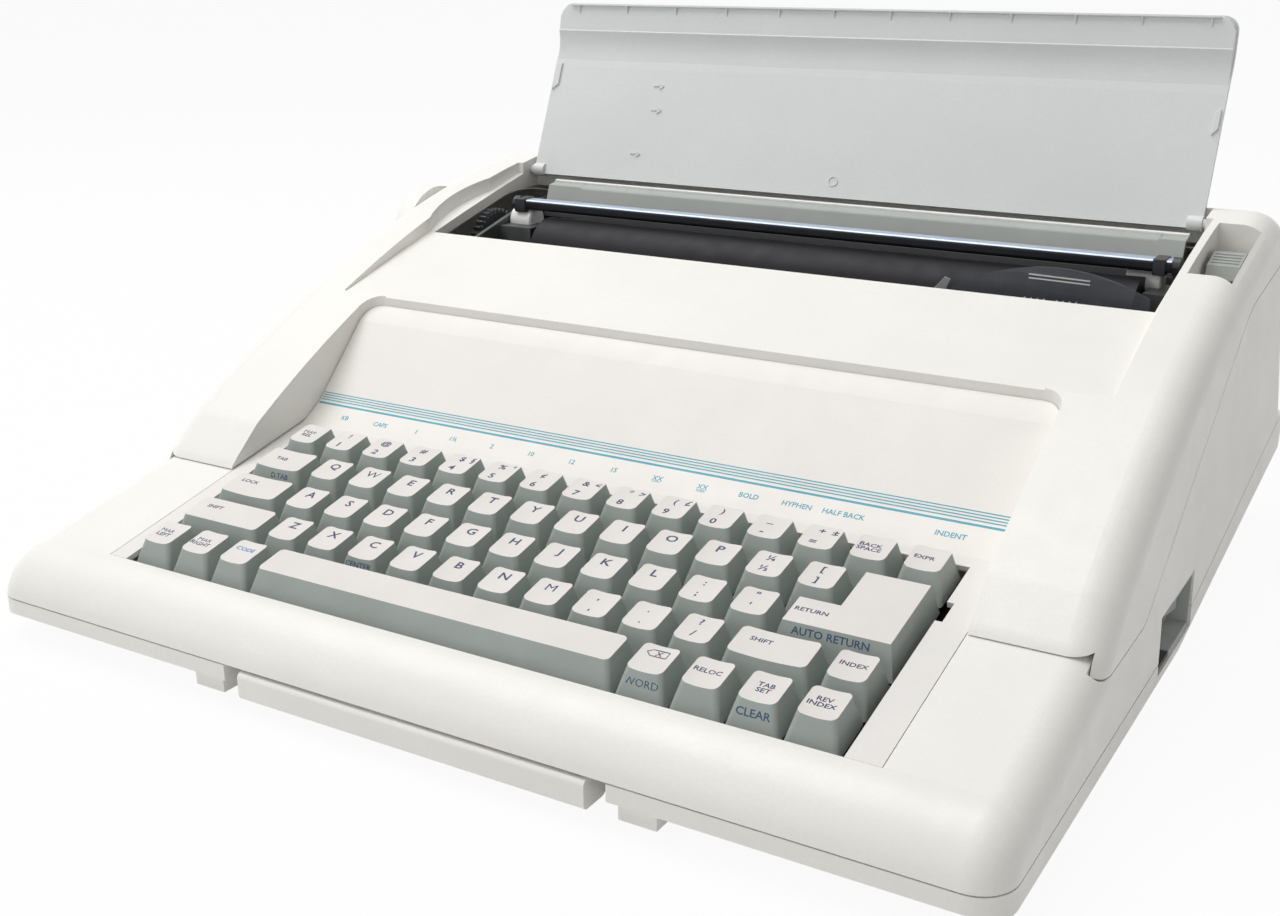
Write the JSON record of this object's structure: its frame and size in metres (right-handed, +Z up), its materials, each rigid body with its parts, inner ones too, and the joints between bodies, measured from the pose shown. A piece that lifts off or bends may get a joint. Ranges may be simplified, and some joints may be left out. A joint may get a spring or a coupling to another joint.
{
  "type": "electric typewriter",
  "caption": "Portable electric daisy-wheel typewriter with a tilted full keyboard, stepped label panel, platen with knob and an opened hinged lid.",
  "frame": {"origin": "middle of the four rubber feet, on the table", "axes": "+X to the typist's right, +Y to the rear, +Z up; the front faces -Y"},
  "size_m": [0.4008, 0.375, 0.216],
  "materials": {
    "case_plastic": "fine satin grain",
    "frame_plastic": "fine satin grain",
    "panel_plastic": "fine grain, printed",
    "lid_plastic": "satin, grey",
    "key_plastic": "matt, printed legends",
    "roller_rubber": "matt",
    "foot_rubber": "matt",
    "dark_plastic": "fine grain",
    "grey_plastic": "satin",
    "white_plastic": "smooth",
    "clear_plastic": "clear, glossy",
    "bright_steel": "ground",
    "sheet_steel": "zinc plated",
    "motor_steel": "plated",
    "circuit_laminate": "varnished",
    "belt_rubber": "matt",
    "gear_plastic": "smooth"
  },
  "bodies": {
    "base": {"bottom_case": "case_plastic", "main_case": "case_plastic", "top_hood": "case_plastic", "keyboard_bezel": "frame_plastic", "indicator_panel": "panel_plastic", "rubber_feet": "foot_rubber", "case_screws": "bright_steel", "key_plate": "dark_plastic", "keyboard_circuit": "circuit_laminate", "main_board": "circuit_laminate", "transformer": "motor_steel", "mains_inlet": "dark_plastic", "switch_housing": "dark_plastic", "side_frame_left": "sheet_steel", "side_frame_right": "sheet_steel", "paper_chute": "grey_plastic", "carriage_rod": "bright_steel", "chassis_channel": "sheet_steel", "feed_motor": "motor_steel", "carriage_motor": "motor_steel", "carriage_belt": "belt_rubber"},
    "lid": {"lid": "lid_plastic"},
    "handle": {"carry_handle": "case_plastic"},
    "rocker": {"power_rocker": "grey_plastic"},
    "platen": {"platen_roller": "roller_rubber", "platen_shaft": "bright_steel", "platen_knob": "case_plastic", "platen_gear": "gear_plastic"},
    "pinion": {"feed_pinion": "gear_plastic"},
    "pressure": {"pressure_rollers": "roller_rubber"},
    "bail": {"bail_bar": "bright_steel", "bail_arms": "grey_plastic"},
    "release": {"release_lever": "grey_plastic"},
    "carriage": {"carriage_body": "dark_plastic", "ribbon_cassette": "dark_plastic", "card_holder": "clear_plastic", "wheel_motor": "motor_steel"},
    "wheel": {"daisy_wheel": "dark_plastic"},
    "striker": {"hammer": "bright_steel"},
    "drive_wheel": {"drive_pulley": "gear_plastic"},
    "idler_wheel": {"idler_pulley": "gear_plastic"},
    "number_row_keys_body": {"number_row_keys": "key_plastic"},
    "upper_letter_keys_body": {"upper_letter_keys": "key_plastic"},
    "home_letter_keys_body": {"home_letter_keys": "key_plastic"},
    "lower_letter_keys_body": {"lower_letter_keys": "key_plastic"},
    "tab_key_body": {"tab_key": "key_plastic"},
    "lock_key_body": {"lock_key": "key_plastic"},
    "return_key_body": {"return_key": "key_plastic"},
    "left_shift_key_body": {"left_shift_key": "key_plastic"},
    "right_shift_key_body": {"right_shift_key": "key_plastic"},
    "index_key_body": {"index_key": "key_plastic"},
    "space_bar_body": {"space_bar": "key_plastic"},
    "margin_left_key_body": {"margin_left_key": "key_plastic"},
    "margin_right_key_body": {"margin_right_key": "key_plastic"},
    "code_key_body": {"code_key": "key_plastic"},
    "correction_key_body": {"correction_key": "key_plastic"},
    "relocate_key_body": {"relocate_key": "key_plastic"},
    "tab_set_key_body": {"tab_set_key": "key_plastic"},
    "reverse_index_key_body": {"reverse_index_key": "key_plastic"}
  },
  "joints": [
    {"name": "lid_hinge", "type": "hinge", "parent": "base", "child": "lid", "pos_m": [0, 0.1301, 0.1365], "axis": [1, 0, 0], "range_deg": [0, 121]},
    {"name": "handle_slide", "type": "slide", "parent": "base", "child": "handle", "axis": [0, -1, 0], "range_m": [0, 0.042]},
    {"name": "power_switch", "type": "hinge", "parent": "base", "child": "rocker", "pos_m": [0.1837, 0.005, 0.0245], "axis": [0, 0, 1], "range_deg": [-7, 7]},
    {"name": "platen_turn", "type": "hinge", "parent": "base", "child": "platen", "pos_m": [0, 0.092, 0.1035], "axis": [1, 0, 0], "continuous": true},
    {"name": "pinion_turn", "type": "hinge", "parent": "base", "child": "pinion", "pos_m": [-0.162, 0.07122, 0.0915], "axis": [1, 0, 0], "continuous": true},
    {"name": "pressure_turn", "type": "hinge", "parent": "base", "child": "pressure", "pos_m": [0, 0.092, 0.07995], "axis": [1, 0, 0], "continuous": true},
    {"name": "bail_lift", "type": "hinge", "parent": "base", "child": "bail", "pos_m": [0, 0.121, 0.112], "axis": [1, 0, 0], "range_deg": [-35, 0]},
    {"name": "paper_release", "type": "hinge", "parent": "base", "child": "release", "pos_m": [0.179, 0.1, 0.088], "axis": [1, 0, 0], "range_deg": [0, 16]},
    {"name": "carriage_travel", "type": "slide", "parent": "base", "child": "carriage", "axis": [1, 0, 0], "range_m": [-0.205, 0.005]},
    {"name": "wheel_turn", "type": "hinge", "parent": "carriage", "child": "wheel", "pos_m": [0.103, 0.0702, 0.0735], "axis": [0, 1, 0], "continuous": true},
    {"name": "hammer_strike", "type": "slide", "parent": "carriage", "child": "striker", "axis": [0, 1, 0], "range_m": [0, 0.003], "stiffness_N_per_m": 200},
    {"name": "drive_turn", "type": "hinge", "parent": "base", "child": "drive_wheel", "pos_m": [0.15, 0.0195, 0.066], "axis": [0, 1, 0], "range_deg": [-1383.8, 35.7]},
    {"name": "idler_turn", "type": "hinge", "parent": "base", "child": "idler_wheel", "pos_m": [-0.138, 0.0195, 0.066], "axis": [0, 1, 0], "range_deg": [-1383.8, 35.7]},
    {"name": "number_row_press", "type": "slide", "parent": "base", "child": "number_row_keys_body", "axis": [0, 0.2113, -0.9774], "range_m": [0, 0.0035], "stiffness_N_per_m": 120, "springref_m": -0.002},
    {"name": "upper_letter_press", "type": "slide", "parent": "base", "child": "upper_letter_keys_body", "axis": [0, 0.2113, -0.9774], "range_m": [0, 0.0035], "stiffness_N_per_m": 120, "springref_m": -0.002},
    {"name": "home_letter_press", "type": "slide", "parent": "base", "child": "home_letter_keys_body", "axis": [0, 0.2113, -0.9774], "range_m": [0, 0.0035], "stiffness_N_per_m": 120, "springref_m": -0.002},
    {"name": "lower_letter_press", "type": "slide", "parent": "base", "child": "lower_letter_keys_body", "axis": [0, 0.2113, -0.9774], "range_m": [0, 0.0035], "stiffness_N_per_m": 120, "springref_m": -0.002},
    {"name": "tab_press", "type": "slide", "parent": "base", "child": "tab_key_body", "axis": [0, 0.2113, -0.9774], "range_m": [0, 0.0035], "stiffness_N_per_m": 120, "springref_m": -0.002},
    {"name": "lock_press", "type": "slide", "parent": "base", "child": "lock_key_body", "axis": [0, 0.2113, -0.9774], "range_m": [0, 0.0035], "stiffness_N_per_m": 120, "springref_m": -0.002},
    {"name": "return_press", "type": "slide", "parent": "base", "child": "return_key_body", "axis": [0, 0.2113, -0.9774], "range_m": [0, 0.0035], "stiffness_N_per_m": 120, "springref_m": -0.002},
    {"name": "left_shift_press", "type": "slide", "parent": "base", "child": "left_shift_key_body", "axis": [0, 0.2113, -0.9774], "range_m": [0, 0.0035], "stiffness_N_per_m": 120, "springref_m": -0.002},
    {"name": "right_shift_press", "type": "slide", "parent": "base", "child": "right_shift_key_body", "axis": [0, 0.2113, -0.9774], "range_m": [0, 0.0035], "stiffness_N_per_m": 120, "springref_m": -0.002},
    {"name": "index_press", "type": "slide", "parent": "base", "child": "index_key_body", "axis": [0, 0.2113, -0.9774], "range_m": [0, 0.0035], "stiffness_N_per_m": 120, "springref_m": -0.002},
    {"name": "space_bar_press", "type": "slide", "parent": "base", "child": "space_bar_body", "axis": [0, 0.2113, -0.9774], "range_m": [0, 0.0035], "stiffness_N_per_m": 120, "springref_m": -0.002},
    {"name": "margin_left_press", "type": "slide", "parent": "base", "child": "margin_left_key_body", "axis": [0, 0.2113, -0.9774], "range_m": [0, 0.0035], "stiffness_N_per_m": 120, "springref_m": -0.002},
    {"name": "margin_right_press", "type": "slide", "parent": "base", "child": "margin_right_key_body", "axis": [0, 0.2113, -0.9774], "range_m": [0, 0.0035], "stiffness_N_per_m": 120, "springref_m": -0.002},
    {"name": "code_press", "type": "slide", "parent": "base", "child": "code_key_body", "axis": [0, 0.2113, -0.9774], "range_m": [0, 0.0035], "stiffness_N_per_m": 120, "springref_m": -0.002},
    {"name": "correction_press", "type": "slide", "parent": "base", "child": "correction_key_body", "axis": [0, 0.2113, -0.9774], "range_m": [0, 0.0035], "stiffness_N_per_m": 120, "springref_m": -0.002},
    {"name": "relocate_press", "type": "slide", "parent": "base", "child": "relocate_key_body", "axis": [0, 0.2113, -0.9774], "range_m": [0, 0.0035], "stiffness_N_per_m": 120, "springref_m": -0.002},
    {"name": "tab_set_press", "type": "slide", "parent": "base", "child": "tab_set_key_body", "axis": [0, 0.2113, -0.9774], "range_m": [0, 0.0035], "stiffness_N_per_m": 120, "springref_m": -0.002},
    {"name": "reverse_index_press", "type": "slide", "parent": "base", "child": "reverse_index_key_body", "axis": [0, 0.2113, -0.9774], "range_m": [0, 0.0035], "stiffness_N_per_m": 120, "springref_m": -0.002}
  ],
  "couplings": [
    {"joint": "pinion_turn", "follows": "platen_turn", "ratio": -3},
    {"joint": "pressure_turn", "follows": "platen_turn", "ratio": -2.6154},
    {"joint": "drive_turn", "follows": "carriage_travel", "rad_per_m": 117.65},
    {"joint": "idler_turn", "follows": "carriage_travel", "rad_per_m": 117.65}
  ]
}
